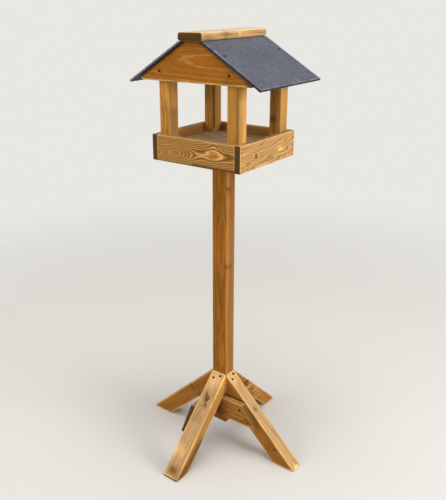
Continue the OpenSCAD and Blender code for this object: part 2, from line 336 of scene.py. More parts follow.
TIMBERS = {
    "post": Timber(
        (8, 34), 4.2, 1, knots=(((27.5, -13, 893), 4.5),),
        # The last three marks: painted light on the front face beneath the tray, the tray's
        # painted shadow on the +X face, and a darker streak down the whole +X face
        marks=(((26, -21.5, 641), 8, 0.7), ((16, -21.5, 400), 7, 0.4), ((27.5, -10, 880), 9, 0.3),
               ((27.5, -3, 635), 7, 0.4), ((27.5, -6, 382), 6, 0.4), ((-6, -21.5, 930), 45, -0.5),
               ((27.5, 2, 925), 45, 0.4), ((27.5, 3, 1000), (27.5, 3, 250), 17, 0.42))),
    "leg_front": Timber(
        (-6, -34), 4.0, 2, tone=-0.12,
        knots=(((-12, -77.5, 202.5), 3), ((1, -92.4, 188.3), 7), ((4, -104.5, 176.9), 3),
               ((8, -86.7, 193.7), 2)),
        # Painted among these: light at the top beside the post, shade on the lower +X face and a
        # highlight on the upper +X face
        marks=(((-2, -88, 193), 18, 0.4), ((6, -110, 172), 13, 0.45), ((12, -142, 141), 24, 0.32),
               ((-4, -268, 22), 17, 0.9), ((0, -42, 236), 32, -0.75), ((-8, -225, 62), 26, -0.7),
               ((-12, -74, 206), (4, -108, 174), 5, 0.5), ((-7, -80, 200), (9, -88, 192), 3, 0.5),
               ((27.5, -165, 70), (27.5, -284, -10), 21, 1.0),
               ((27.5, -38, 215), (27.5, -138, 110), 14, -0.2))),
    "leg_right": Timber(
        (-20, 9), 3.6, 3, tone=0.05, faded_and_sunlit=1,
        knots=(((218.5, -21.5, 50.5), 4.5), ((35.5, 11, 247), 3), ((51, -3, 233), 2)),
        # Painted among these: a glare on the toe, light at the top beside the post, and the
        # strut's shadow along the joint
        marks=(((131, -3, 156), 10, 0.7), ((288, 1, 8), 9, -0.9), ((45, 0, 239), 28, -0.7),
               ((200, -24, 50), 26, 0.35), ((18, -21.5, 179), (100, -21.5, 179), 4, 1.6))),
    "leg_back": Timber(
        (26, -12), 4.4, 4, tone=0.28, faded_and_sunlit=0.1,
        # Its mark is the strut's painted shadow along its top edge, on the +X face
        marks=(((27.5, 50, 163), (27.5, 112, 163), 5, 1.4),)),
    "leg_left": Timber(
        (34, 10), 4.0, 5, tone=0.05, crack=((-127, -21.5, 166), (-108, -21.5, 144)),
        marks=(((-87, -21.5, 136), 6, 0.7), ((-92, -21.5, 160), 16, 0.3),
               ((-127, -21.5, 166), (-108, -21.5, 144), 4, 0.6))),
    "strut_front": Timber((5, -18), 4.0, 6, tone=0.1),
    "strut_right": Timber(
        (-14, 16), 4.6, 7, lines=1.8,
        # The second mark is the front leg's painted shadow on the end of the front face
        marks=(((88, -31, 179), (160, -31, 106), 13, 0.4),
               ((8, -40, 175), (16, -40, 105), 20, 0.7))),
    "strut_back": Timber(
        # Its mark is painted shadow along the top edge, where it meets the leg
        (6, -24), 4.2, 8, lines=2.2, faded_and_sunlit=0.1, marks=(((34, 40, 162), (34, 100, 162), 5, 0.8),)),
    "strut_left": Timber((-8, 20), 3.9, 9),
    "bearer_left": Timber((4, -22), 4.5, 10),
    "bearer_right": Timber((-10, 26), 4.1, 11),
    "tray_floor": Timber((30, -40), 5.0, 12, drift=9),
    "tray_front": Timber(
        (-5, 17.5), 3.9, 13, drift=2, lean=0.055, tone=0.24,
        swells=(Swell(-88, 72, 24), Swell(66, 32, 4, 0.4)),
        knots=(((54, -137, 1061), 2.2), ((64, -137, 1061), 2.2)),
        marks=(((-90, -143, 1014), 4, -1.2), ((50, -143, 1022), 10, -0.7),
               ((72, -143, 1026), 15, -1.2), ((94, -143, 1022), 9, -0.7),
               # The last two marks are painted shade along the bottom edge
               ((-139, -143, 984), (-5, -143, 984), 3, 0.8),
               ((-2, -143, 984), (140, -143, 984), 5.8, 1.6))),
    "tray_back": Timber((8, -20), 3.9, 14, tone=0.3, lines=0.6, swells=(Swell(-20, 50, 9),)),
    "tray_left": Timber(
        (-6, 24), 4.0, 15, tone=0.45, lines=0.8, faded_and_sunlit=0, swells=(Swell(30, 45, 8),)),
    "tray_right": Timber(
        (-38, -26), 5.6, 16, drift=9, lean=0.12, lines=0.65, waver=1.1, tone=-0.12, faded_and_sunlit=0.6,
        knots=(((156, -64, 1019), 5), ((156, 127, 1021), 2)),
        marks=(((156, 64, 1019), 9, -0.7), ((156, 52, 1020), 8, -0.6))),
    "upright_front_left": Timber(
        (14, 40), 4.1, 17, tone=-0.15,
        # The first mark is painted light on the +X face, the second the gable's painted shadow
        marks=(((-86, -107, 1206), (-86, -107, 1150), 15, -2.5),
               ((-139, -126, 1217), (-101, -126, 1217), 6, 0.6),
               ((-140, -127, 1137), (-112, -127, 1137), 13, 0.35),
               ((-132, -128, 1196), (-114, -128, 1176), 13, -0.35),
               ((-92, -110, 1120), (-92, -110, 1070), 14, 0.5))),
    "upright_front_right": Timber(
        (26, -30), 3.9, 18,
        marks=(((136, -126, 1210), (136, -126, 1065), 8, 0.62),
               # Painted light on the +X face
               ((139, -98, 1200), (139, -98, 1065), 17, -0.75))),
    "upright_back_left": Timber(
        (-20, 32), 4.3, 19, tone=0.15,
        marks=(((-100.5, 88, 1214), (-100.5, 88, 1050), 3.5, 1.2),
               # Painted shade on the +X face, under the roof
               ((-86, 107, 1210), (-86, 107, 1060), 15, 0.5))),
    "upright_back_right": Timber(
        (12, 34), 4.0, 20, knots=(((121, 88, 1121), 1.6),),
        # The streak down the front face is painted shade under the roof
        marks=(((114, 88, 1098), 8, 0.6), ((114, 88, 1210), (114, 88, 1065), 19, 0.5),
               ((138.5, 88, 1214), (138.5, 88, 1050), 1.8, -0.5))),
    "gable_front": Timber(
        (6, 24), 11.0, 21, phase=0.54, drift=1, waver=0.14, swells=(Swell(150, 180, 14),),
        # Painted shadows: the cap's at the top (first and seventh marks), at the right foot
        # (fourth), and the slates' along both slopes (fifth and sixth)
        marks=(((0, -145, 1332), 26, 0.42), ((-140, -145, 1225), 30, 0.15),
               ((120, -145, 1225), 32, 0.38), ((186, -145, 1222), 13, 0.8),
               ((-190, -145, 1229), (-28, -145, 1328), 6, 1.1),
               ((190, -145, 1229), (28, -145, 1328), 10, 0.95),
               ((-29, -145, 1328), (29, -145, 1328), 5, 1.0),
               ((-123, -145, 1247), (-109, -145, 1236), 2.5, 0.6))),
    "gable_back": Timber((-6, -30), 7.0, 22, swells=(Swell(30, 75, 8),)),
    "ridge_cap": Timber(
        (10, -30), 4.4, 23, faded_and_sunlit=0, knots=(((42, -73, 1341), 2.5),),
        marks=(((42, -50, 1338), 20, 0.4), ((42, -125, 1334), 22, 0.3), ((42, 17, 1342), 6, -0.9),
               ((42, -68, 1338), 4, -0.9), ((42, 100, 1338), 45, 0.15))),
}
# In mm: between mesh points, from an eased arris to the next points, off a knocked arris, a
# planer's wave, and into a crack
GRID, PAST_ARRIS, KNOCK_DEPTH, WAVE_DEPTH, CRACK_DEPTH = 4.5, 0.5, 0.3, 0.12, 6.0
# What counts as clear of any crack, in mm, and of any knot, in its radii
CRACK_FAR, KNOT_FAR = 9.0, 5.0
# How many rings a knot pushes aside, and how far out in its radii
KNOT_PUSH, KNOT_REACH = 1.8, 2.1
# Lengths in mm over which a timber changes: along, across and deep
HEART_DRIFT, WAVERS, QUICK_WAVERS = 170, (60, 14, 14), (22, 7, 7)
KNOCKS, WAVES = (16, 30, 30), (45, 25, 25)
QUICK_SHARE = 0.45            # how strong the quick waver is beside the slow one


def board_axes(mesh):
    """The timber's middle and its three directions: along the grain, across and deep."""
    longest = max((e for e in mesh.edges if is_arris(e)), key=lambda e: e.calc_length())
    along = (longest.verts[1].co - longest.verts[0].co).normalized()
    is_upright = abs(along.z) > 0.99
    across = X_AXIS.copy() if is_upright else along.cross(Z_AXIS)
    across.normalize()
    deep = along.cross(across).normalized()
    axes = []
    for axis in (along, across, deep):
        main = max(axis, key=abs)
        axes.append(axis if main > 0 else -axis)
    reach = [extent(mesh, axis) for axis in axes]
    width = [high - low for low, high in reach]
    is_wider_deep = width[2] > width[1] * 1.02
    if is_wider_deep:
        axes[1], axes[2] = axes[2], axes[1]
        reach[1], reach[2] = reach[2], reach[1]
    middle = [(low + high) / 2 for low, high in reach]
    return axes, reach, middle


def ease_arrises(mesh, radius):
    """Rounds the outer edges longer than the rim steps of a screw hole, and returns the faces."""
    arrises = [e for e in mesh.edges if is_arris(e) and e.calc_length() > 1.5 * radius]
    return bmesh.ops.bevel(
        mesh, geom=arrises, offset=radius, segments=3, profile=0.5,
        affect="EDGES", clamp_overlap=True)["faces"]


def heart_at(timber, along):
    """Where the tree's heart runs at each place along the timber, in mm."""
    line = np.stack([along / HEART_DRIFT, 0 * along, 0 * along], 1)
    across = timber.pith[0] + timber.lean * along + timber.drift * wobble(line, timber.seed)
    deep = timber.pith[1] + timber.drift * wobble(line, timber.seed + 0.5)
    toward_face = -math.copysign(1, timber.pith[1])
    for swell in timber.swells:
        deep = deep + toward_face * swell.rise * bell(along - swell.place, swell.spread)
    return across, deep


def growth(timber, local, knots):
    """At each point: the ring count, the distance from the heart and from a knot in its radii."""
    along, across, deep = local.T
    heart_across, heart_deep = heart_at(timber, along)
    side = across - heart_across
    for swell in timber.swells:
        near = bell(along - swell.place, swell.spread)
        side = np.where(side > 0, side * (1 - swell.lift * near), side)
    from_heart = np.hypot(side, deep - heart_deep)
    rings = from_heart / timber.ring + timber.phase
    rings += timber.waver * wobble(local / WAVERS, timber.seed + 2)
    rings += QUICK_SHARE * timber.waver * wobble(local / QUICK_WAVERS, timber.seed + 2.5)

    # A branch runs straight out from the heart, widens, and pushes the rings round it outward
    nearest = np.full(len(local), KNOT_FAR)
    for point, radius in knots:
        heart = np.array([point[0], *[h[0] for h in heart_at(timber, point[:1])]])
        branch = point - heart
        length = np.linalg.norm(branch)
        out = (local - heart) @ (branch / length)
        away = np.linalg.norm(local - heart - np.outer(out, branch / length), axis=1)
        widening = radius * np.clip(out / length, 0.2, 1.5)
        reached = smoothstep(0.1, 0.4, out / length)
        nearest = np.minimum(nearest, np.where(out > 0.3 * length, away / widening, KNOT_FAR))
        rings += KNOT_PUSH * reached * bell(away, KNOT_REACH * radius)
    return rings, from_heart, nearest


def crack_sides(timber, points, face_axis):
    """Signed distance in mm from a drying crack's line, large beyond its ends."""
    if not timber.crack:
        return np.full(len(points), CRACK_FAR)
    start, end = (np.array(p, float) for p in timber.crack)
    run = end - start
    length = np.linalg.norm(run)
    offset = (points - start) @ np.cross(run / length, face_axis)
    place = (points - start) @ run / length
    depth = np.abs((points - start) @ face_axis)
    inside = (place > 0) & (place < length) & (depth < CRACK_DEPTH)
    return np.where(inside, offset, np.copysign(CRACK_FAR, offset))


def build_timber(node, radius, material):
    """A timber in the place of its CAD node, with eased arrises and the tree's growth in it."""
    timber = TIMBERS[node]
    mesh = whole_faces(node)
    axes, reach, middle = board_axes(mesh)
    eased_mark = mesh.faces.layers.int.new("eased")
    for face in ease_arrises(mesh, radius):
        face[eased_mark] = 1
    for axis, (low, high) in zip(axes, reach):
        margin = radius + PAST_ARRIS * MM
        cut_across(mesh, axis, grid_places(low, high, GRID * MM, (margin,)))
    mesh.normal_update()

    # Wear: distance from the nearest eased arris
    rim = [v for v in mesh.verts if any(f[eased_mark] for f in v.link_faces)]
    tree = kdtree.KDTree(len(rim))
    for i, vertex in enumerate(rim):
        tree.insert(vertex.co, i)
    tree.balance()
    from_arris = np.array([tree.find(v.co)[2] for v in mesh.verts]) / MM

    points = points_of(mesh)
    basis = np.array([list(axis) for axis in axes])
    centre = np.array(middle) / MM
    local = points @ basis.T - centre
    knots = [(basis @ np.array(p, float) - centre, r) for p, r in timber.knots]
    rings, from_heart, knot = growth(timber, local, knots)

    # Knocks along the arrises and slow waves of the planer, always inward
    knocks = np.clip(wobble(local / KNOCKS, timber.seed + 3) - 0.1, 0, 1)
    waves = 0.5 + 0.5 * wobble(local / WAVES, timber.seed + 4)
    inward = KNOCK_DEPTH * knocks * (from_arris < PAST_ARRIS) + WAVE_DEPTH * waves
    normals = np.array([v.normal for v in mesh.verts])
    move_points(mesh, points - normals * inward[:, None])

    # Rings blur near the heart; the stain field carries the tone and marks, painted shade and
    # light among them;
    # and sawn ends on the sunny side, +X, go pale too, partly from sun bleaching, partly as
    # painted sunlight
    piece = finish_object(mesh, node.replace("_", "-"), material)
    set_attributes(
        piece, "POINT", grain=local + timber.seed * GRAIN_STEPS, rings=rings,
        lines=timber.lines * smoothstep(3, 10, from_heart), knot=knot,
        crack=crack_sides(timber, points, basis[2]),
        stain=marked(points, timber.tone, timber.marks), wear=from_arris)
    face_normals = np.array([p.normal for p in piece.data.polygons])
    open_to_sky = smoothstep(0.3, 0.7, face_normals[:, 2])
    # Paler +X faces: partly sun bleaching, partly painted sunlight
    sunny = timber.faded_and_sunlit * smoothstep(0.5, 0.9, face_normals[:, 0])
    sawn = smoothstep(0.4, 0.6, np.abs(face_normals @ basis[0]))
    set_attributes(piece, "FACE", bleach=np.maximum(open_to_sky, sunny), end=sawn * (1 - sunny))
    stand_for(piece, node)


# Slates

class Slate(NamedTuple):
    """One slate's look, with painted shade and light on its edges. Points and sizes are in mm, and
    the rest runs from 0 to 1.
    """

    seed: int
    edge_shade: float = 0.0    # strength of the painted shade on its edges
    edge_light: float = 0.0   # strength of the painted light on its edges
    marks: tuple = ()         # (point, spread, strength) of pale spots


SLATES = {
    # The left slate's pale edges are painted light
    "slate_left": Slate(41, edge_light=0.5),
    # The right slate's dark edges are painted shade
    "slate_right": Slate(42, edge_shade=1.0, marks=(
        ((50, 112, 1322), 3, 0.9), ((84, -151, 1303), 8, 0.35), ((217, 44, 1220), 10, 0.3))),
}
# In mm: between mesh points, a ripple's height, a chip's depth above, below and inward, and
# how near its outline a point is on it
SLATE_GRID, RIPPLE, CHIP_ABOVE, CHIP_BELOW, CHIP_IN, NEAR = 4.0, 0.1, 1.5, 0.8, 0.9, 0.05
# How many layers the split's noise is cut into, how dark the painted shade on the underside is,
# and how far apart in mm two slates' patterns are read
LAYERS, UNDERSIDE_SHADE, SLATE_STEP = 2.6, 0.55, 61.0
# Lengths in mm over which a slate changes: along, down the slope and through it
SPLITS, RIPPLES = (95, 130, 1000), (9, 12, 1000)
CHIPS, BRUISES = (7, 7, 40), (14, 14, 40)


def build_slate(node, settings, material):
    """A riven slate: a split face in shallow steps and a chipped margin."""
    slate = SLATES[node]
    mesh = whole_faces(node)
    upper = max(mesh.faces, key=lambda f: f.calc_area() * (f.normal.z > 0)).normal.copy()
    down = Y_AXIS.cross(upper)
    margins = [settings.dressed_width * share for share in (0.35, 1, 2)]
    for axis in (Y_AXIS, down):
        low, high = extent(mesh, axis)
        cut_across(mesh, axis, grid_places(low, high, SLATE_GRID * MM, margins))
    low, high = extent(mesh, upper)
    cut_across(mesh, upper, grid_places(low, high, (high - low) / 3))
    mesh.normal_update()

    points = points_of(mesh)
    basis = np.array([list(Y_AXIS), list(down), list(upper)])
    local = points @ basis.T
    lows, highs = local.min(0), local.max(0)
    from_edge = np.minimum(local - lows, highs - local)[:, :2].min(1)
    height = (local[:, 2] - lows[2]) / (highs[2] - lows[2])
    on_top, below = height > 0.9, height < 0.1
    on_side = from_edge < NEAR

    # Steps of the split: each layer ends along a wandering line
    flow = LAYERS * wobble(local / SPLITS, slate.seed)
    layer = np.floor(flow) + smoothstep(0.8, 1.0, flow - np.floor(flow))
    steps = settings.riven_height / MM * (layer - layer.min()) / max(1.0, np.ptp(layer))
    split = steps + RIPPLE * (1 + wobble(local / RIPPLES, slate.seed + 1))

    # Chips along the margin, deeper on the face that was up when it was dressed
    bite = np.clip(0.35 + 0.9 * wobble(local / CHIPS, slate.seed + 2), 0, 1)
    width = settings.dressed_width / MM
    chip = bite * np.clip(1 - from_edge / width, 0, 1)
    sunk = on_top * (split + CHIP_ABOVE * chip) + below * (0.5 * split + CHIP_BELOW * chip)
    toward_middle = np.where(height > 0.5, -1, 1)
    local[:, 2] += toward_middle * sunk
    pull = CHIP_IN * bite * on_side
    for axis in (0, 1):
        at_low = local[:, axis] - lows[axis] < NEAR
        at_high = highs[axis] - local[:, axis] < NEAR
        local[:, axis] += pull * at_low - pull * at_high
    move_points(mesh, local @ basis)

    # Painted shade on dark edges and the underside, painted light on pale edges, and bruises where
    # the dressing stopped
    piece = finish_object(mesh, node.replace("_", "-"), material)
    rim = np.clip(np.clip(1 - from_edge / (0.6 * width), 0, 1) * (height < 0.97) + on_side, 0, 1)
    bruised = bell(from_edge - width, width) * on_top
    bruised *= np.clip(0.5 + wobble(local / BRUISES, slate.seed + 3), 0, 1)
    # Painted light on the lit edges, above the underside
    lit_edges = slate.edge_light * rim * (height > 0.1)
    pale = marked(points, 0, slate.marks) + lit_edges + 0.6 * bruised
    set_attributes(
        piece, "POINT", grain=local + slate.seed * SLATE_STEP, pale=np.clip(pale, 0, 1),
        edge=np.maximum(slate.edge_shade * rim, UNDERSIDE_SHADE * below))
    stand_for(piece, node)


# Nodes

def set_inputs(tree, node, values):
    """Links the inputs that are given a socket, and sets the others."""
    for key, value in values.items():
        if isinstance(value, bpy.types.NodeSocket):
            tree.links.new(value, node.inputs[key])
        else:
            node.inputs[key].default_value = value


def add(tree, kind, inputs=None, out=0, **settings):
    """Adds a node, sets it, fills or links its inputs, and returns one of its outputs."""
    node = tree.nodes.new(kind)
    for name, value in settings.items():
        setattr(node, name, value)
    set_inputs(tree, node, inputs or {})
    return node.outputs[out]


# Screws and nails

def seats(node):
    """The outer middle, the direction, the radius and the thickness of each head in a node."""
    mesh = whole_faces(node)
    found, seen = [], set()
    for start in mesh.verts:
        if start in seen:
            continue
        joined, ahead = {start}, [start]
        while ahead:
            near = {v for e in ahead.pop().link_edges for v in e.verts} - joined
            joined |= near
            ahead += near
        seen |= joined
        faces = {f for v in joined for f in v.link_faces}
        caps = sorted(faces, key=lambda f: f.calc_area())[-2:]
        first, second = (f.calc_center_median() for f in caps)
        # The outer cap looks away from the table's axis, or else up
        cap = max(caps, key=lambda f: f.normal.xy.dot(f.calc_center_median().xy)
                  + 0.1 * f.normal.z)
        centre = sum((v.co for v in cap.verts), Vector()) / len(cap.verts)
        radius = max((v.co - centre).length for v in cap.verts)
        thickness = abs((first - second).dot(cap.normal))
        found.append((centre, cap.normal.copy(), radius, thickness))
    mesh.free()
    return found


def ring_of(mesh, radius, z, count=32):
    turn = 2 * math.pi / count
    return [mesh.verts.new((radius * math.cos(i * turn), radius * math.sin(i * turn), z))
            for i in range(count)]


def join_rings(mesh, lower, upper):
    for i in range(len(lower)):
        j = (i + 1) % len(lower)
        mesh.faces.new((lower[i], lower[j], upper[j], upper[i]))


def recessed_head(radius, thickness, settings):
    """A countersunk head with a tapered cross recess, its rim at z = 0."""
    mesh = bmesh.new()
    rim, foot = 0.08 * radius, 0.93 * radius
    base = ring_of(mesh, foot, -thickness)
    side = ring_of(mesh, radius, -rim)
    top = ring_of(mesh, radius - rim, 0)
    join_rings(mesh, base, side)
    join_rings(mesh, side, top)
    mesh.faces.new(list(reversed(base)))
    reach = settings.recess_reach * radius
    half_slot, taper = 0.24 * reach, 0.55
    corners = ((reach, -half_slot), (reach, half_slot), (half_slot, half_slot))
    cross = [Vector((x, y, 0)) for x, y in corners]
    outline = [Matrix.Rotation(math.pi / 2 * k, 3, "Z") @ p for k in range(4) for p in cross]
    lip = [mesh.verts.new(p) for p in outline]
    pit = [mesh.verts.new((p.x * taper, p.y * taper, -settings.recess_depth)) for p in outline]
    join_rings(mesh, pit, lip)
    mesh.faces.new(pit)
    edges = [e for e in mesh.edges if e.is_boundary]
    bmesh.ops.triangle_fill(mesh, use_beauty=True, edges=edges)
    bmesh.ops.recalc_face_normals(mesh, faces=mesh.faces)
    return mesh


def domed_head(radius, thickness):
    """A plain nail head with a low hammered dome, its middle at z = 0."""
    mesh = bmesh.new()
    # Share of the radius and share of the thickness, from the base up
    profile = ((0.9, 1), (1.0, 0.7), (0.94, 0.35), (0.7, 0.12), (0.35, 0.03))
    rings = [ring_of(mesh, radius * share, -depth * thickness, 24) for share, depth in profile]
    for lower, upper in zip(rings, rings[1:]):
        join_rings(mesh, lower, upper)
    mesh.faces.new(rings[-1])
    mesh.faces.new(list(reversed(rings[0])))
    return mesh


def seating_tree():
    """Geometry Nodes that seat one head on every point, each with a turn of its own."""
    tree = bpy.data.node_groups.new("Seated heads", "GeometryNodeTree")
    sockets = {}
    for name, kind in (("Seats", "Geometry"), ("Head", "Object"), ("Finish", "Material"),
                       ("Largest turn", "Float"), ("Seed", "Int")):
        socket = tree.interface.new_socket(
            name=name, in_out="INPUT", socket_type="NodeSocket" + kind)
        sockets[name] = socket.identifier
    tree.interface.new_socket(name="Heads", in_out="OUTPUT", socket_type="NodeSocketGeometry")
    given = tree.nodes.new("NodeGroupInput").outputs
    head = add(tree, "GeometryNodeObjectInfo", {"Object": given["Head"]}, "Geometry")
    facing = add(tree, "GeometryNodeInputNamedAttribute", {"Name": "facing"}, "Attribute",
                 data_type="FLOAT_VECTOR")
    upright = add(tree, "FunctionNodeAlignRotationToVector", {"Vector": facing}, axis="Z")
    angle = add(
        tree, "FunctionNodeRandomValue", {"Max": given["Largest turn"], "Seed": given["Seed"]},
        "Value", data_type="FLOAT")
    spin = add(tree, "FunctionNodeAxisAngleToRotation", {"Axis": (0, 0, 1), "Angle": angle})
    turned = add(tree, "FunctionNodeRotateRotation", {"Rotation": upright, "Rotate By": spin},
                 rotation_space="LOCAL")
    placed = add(tree, "GeometryNodeInstanceOnPoints",
                 {"Points": given["Seats"], "Instance": head, "Rotation": turned})
    real = add(tree, "GeometryNodeRealizeInstances", {"Geometry": placed})
    dressed = add(tree, "GeometryNodeSetMaterial", {"Geometry": real, "Material": given["Finish"]})
    set_inputs(tree, tree.nodes.new("NodeGroupOutput"), {"Heads": dressed})
    return tree, sockets


def build_fixings(node, tree, sockets, settings, finish, seed):
    """One plain mesh of all the heads of a CAD node, seated by the Geometry Nodes tree."""
    centres, directions, radii, thicknesses = zip(*seats(node))
    if node.endswith("_screws"):
        shape = recessed_head(radii[0], thicknesses[0], settings)
    else:
        shape = domed_head(radii[0], thicknesses[0])
    head = finish_object(shape, "head", finish)
    data = bpy.data.meshes.new(node)
    data.from_pydata(centres, [], [])
    piece = new_object(node.replace("_", "-"), data)
    set_attributes(piece, "POINT", facing=[list(d) for d in directions])
    modifier = piece.modifiers.new("Seated heads", "NODES")
    modifier.node_group = tree
    modifier[sockets["Head"]] = head
    modifier[sockets["Finish"]] = finish
    modifier[sockets["Largest turn"]] = 2 * math.pi
    modifier[sockets["Seed"]] = seed
    graph = bpy.context.evaluated_depsgraph_get()
    plain = bpy.data.meshes.new_from_object(piece.evaluated_get(graph))
    piece.modifiers.remove(modifier)
    piece.data = plain
    bpy.data.objects.remove(head)
    stand_for(piece, node)


# Materials

# Sockets of a Mix node that mixes colours, and the setting of a Map Range node with soft ends
FACTOR, UNDER, OVER, MIXED = 0, 6, 7, 2
SOFT = {"interpolation_type": "SMOOTHSTEP"}


def new_material(name):
    material = bpy.data.materials.new(name)
    material.use_nodes = True
    shader = material.node_tree.nodes["Principled BSDF"]
    return material, material.node_tree, shader


def scaled(colour, gain):
    return tuple(min(1.0, c * gain) for c in colour)


class Finish(NamedTuple):
    """How a stain took to one kind of timber. Strengths run from 0 to 1."""

    name: str
    stain: tuple
    bleached: tuple
    bleaching: float = 0.0    # how far faces open to the sky have gone pale, and those on the +X side, where it is partly painted sunlight
    pale: float = 0.2         # strength of the pale bands
    pale_width: float = 0.5   # share of a ring that its pale band takes
    dark: float = 0.2         # strength of the dark lines
    dark_width: float = 0.35  # share of a ring that its dark line takes
    blotch: float = 0.3       # strength of slow changes along the grain
    worn: float = 0.2         # strength of the pale wear on arrises, which also paints a highlight along them


# Noise drawn out along the grain: length and width of one blotch in mm, and detail.
# Pine's fibres are 0.03 mm wide, too fine to show, so they are drawn 1.6 mm wide.
GRAIN_NOISE = {
    "waver": (30, 7, 2), "soaking": (150, 22, 3), "weather": (90, 10, 3),
    "fibre": (24, 1.6, 3), "rubbing": (40, 12, 2), "speckle": (5, 4, 2),
}
# Lightens where the marks are below 0: paler wood, and painted light
BRIGHTER = (1.7, 1.7, 1.7)


def stained_pine(t, finish):
    """Planed pine under a thin brown stain, a satin coat that lets the grain through.

    Spring wood drinks the stain and goes brown, hard summer wood stays pale, and a dark line
    parts them. The stain is blotched along the grain, bleached by the sun and worn off
    arrises, where the pale is also a painted highlight; on the +X side it is partly painted
    sunlight. The marks darken and lighten it, with painted shade and light among them. Sawn
    ends are nearly black with it.
    """
    material, tree, shader = new_material(finish.name)
    read = {key: add(tree, "ShaderNodeAttribute", out="Fac", attribute_name=key)
            for key in ("rings", "lines", "knot", "crack", "stain", "wear", "end", "bleach")}
    grain = add(tree, "ShaderNodeAttribute", out="Vector", attribute_name="grain")
    for key, (long_mm, wide_mm, detail) in GRAIN_NOISE.items():
        drawn = add(tree, "ShaderNodeVectorMath",
                    {0: grain, 1: (1 / long_mm, 1 / wide_mm, 1 / wide_mm)}, operation="MULTIPLY")
        read[key] = add(tree, "ShaderNodeTexNoise",
                        {"Vector": drawn, "Scale": 1.0, "Detail": detail, "Roughness": 0.55})

    # Each ring: a pale band of summer wood, then a dark line, unlike from year to year.
    # Each has its middle as a share of the ring, and what shows of it in its weakest year.
    count = add(tree, "ShaderNodeMath", {0: read["waver"], 1: 0.4, 2: read["rings"]},
                operation="MULTIPLY_ADD")
    place = add(tree, "ShaderNodeMath", {0: count}, operation="FRACT")
    whole = add(tree, "ShaderNodeMath", {0: count}, operation="FLOOR")
    year = add(tree, "ShaderNodeTexWhiteNoise", {"W": whole}, "Value", noise_dimensions="1D")
    for key, middle, width, strength, weakest in (
            ("pale", 0.32, finish.pale_width, finish.pale, 0.4),
            ("dark", 0.78, finish.dark_width, finish.dark, 0.35)):
        side = add(tree, "ShaderNodeMath", {0: place, 1: middle}, operation="SUBTRACT")
        off = add(tree, "ShaderNodeMath", {0: side}, operation="ABSOLUTE")
        near = add(
            tree, "ShaderNodeMapRange",
            {"Value": off, "From Min": 0.5 * width, "From Max": 0.2 * width}, **SOFT)
        shown = add(tree, "ShaderNodeMath", {0: near, 1: read["lines"]}, operation="MULTIPLY")
        yearly = add(
            tree, "ShaderNodeMath", {0: year, 1: (1 - weakest) * strength, 2: weakest * strength},
            operation="MULTIPLY_ADD")
        read[key] = add(
            tree, "ShaderNodeMath", {0: shown, 1: yearly}, operation="MULTIPLY", use_clamp=True)

    # Soft steps: what is read, where the step starts and ends, and the share at either end
    read["from split"] = add(tree, "ShaderNodeMath", {0: read["crack"]}, operation="ABSOLUTE")
    steps = {
        "drank more": ("soaking", 0.5, 0.66, 0, finish.blotch),
        "drank less": ("soaking", 0.5, 0.34, 0, 0.6 * finish.blotch),
        "sunned": ("weather", 0.25, 0.6, 0.7 * finish.bleaching, finish.bleaching),
        "fibres": ("fibre", 0.3, 0.7, 0, 0.2),
        "arris": ("wear", t.worn_width / MM, 0.5, 0, 1),
        # Pale wear on arrises, which also stands for a painted highlight on them
        "rubbed_and_highlit": ("rubbing", 0.35, 0.6, 0.5 * finish.worn, finish.worn),
        # Below 0 the marks lighten the wood: paler tone and spots, and painted light
        "paler_and_painted_light": ("stain", 0, -1, 0, 1),
        "pores": ("speckle", 0.35, 0.7, 0, 0.4),
        # Above 0 the marks darken the wood: tone, spots and cracks, and painted shade and shadows
        "marked": ("stain", 0, 1, 0, 0.9),
        "in knot": ("knot", 1.15, 0.8, 0, 1),
        "knot rim": ("knot", 0.45, 0.85, 0.15, 0.8),
        "knot checks": ("speckle", 0.5, 0.62, 0, 0.8),
        "split": ("from split", 1.4, 0.5, 0, 1),
    }
    for key, (source, low, high, at_low, at_high) in steps.items():
        read[key] = add(tree, "ShaderNodeMapRange",
                        {"Value": read[source], "From Min": low, "From Max": high,
                         "To Min": at_low, "To Max": at_high}, **SOFT)

    # Layers over the stain: the two shares whose product shows, and the colour
    read["all"] = 1.0
    layers = (
        ("all", "drank more", scaled(finish.stain, 0.45)),
        ("all", "drank less", scaled(finish.stain, 1.7)),
        # Pale faces open to the sky, and on the +X side partly painted sunlight
        ("bleach", "sunned", finish.bleached),
        ("all", "pale", t.pale_line),
        ("all", "dark", t.dark_line),
        ("all", "fibres", t.dark_line),
        # Wear and painted highlight on arrises
        ("arris", "rubbed_and_highlit", t.pale_line),
        # Paler tone and spots, and painted light, from the marks
        ("all", "paler_and_painted_light", BRIGHTER),
        ("end", "all", t.sawn_end),
        ("end", "pale", t.sawn_line),
        ("end", "pores", t.knot),
        # Dark tone, spots and cracks, and painted shade and shadows, from the marks
        ("all", "marked", t.dark_line),
        ("in knot", "all", t.knot_heart),
        ("in knot", "knot rim", t.knot),
        ("in knot", "knot checks", t.knot),
        ("all", "split", t.knot),
    )
    wood = (*finish.stain, 1)
    for first, second, colour in layers:
        share = add(
            tree, "ShaderNodeMath", {0: read[first], 1: read[second]}, operation="MULTIPLY")
        wood = add(tree, "ShaderNodeMix", {FACTOR: share, UNDER: wood, OVER: (*colour, 1)}, MIXED,
                   data_type="RGBA", blend_type="MULTIPLY" if colour is BRIGHTER else "MIX")

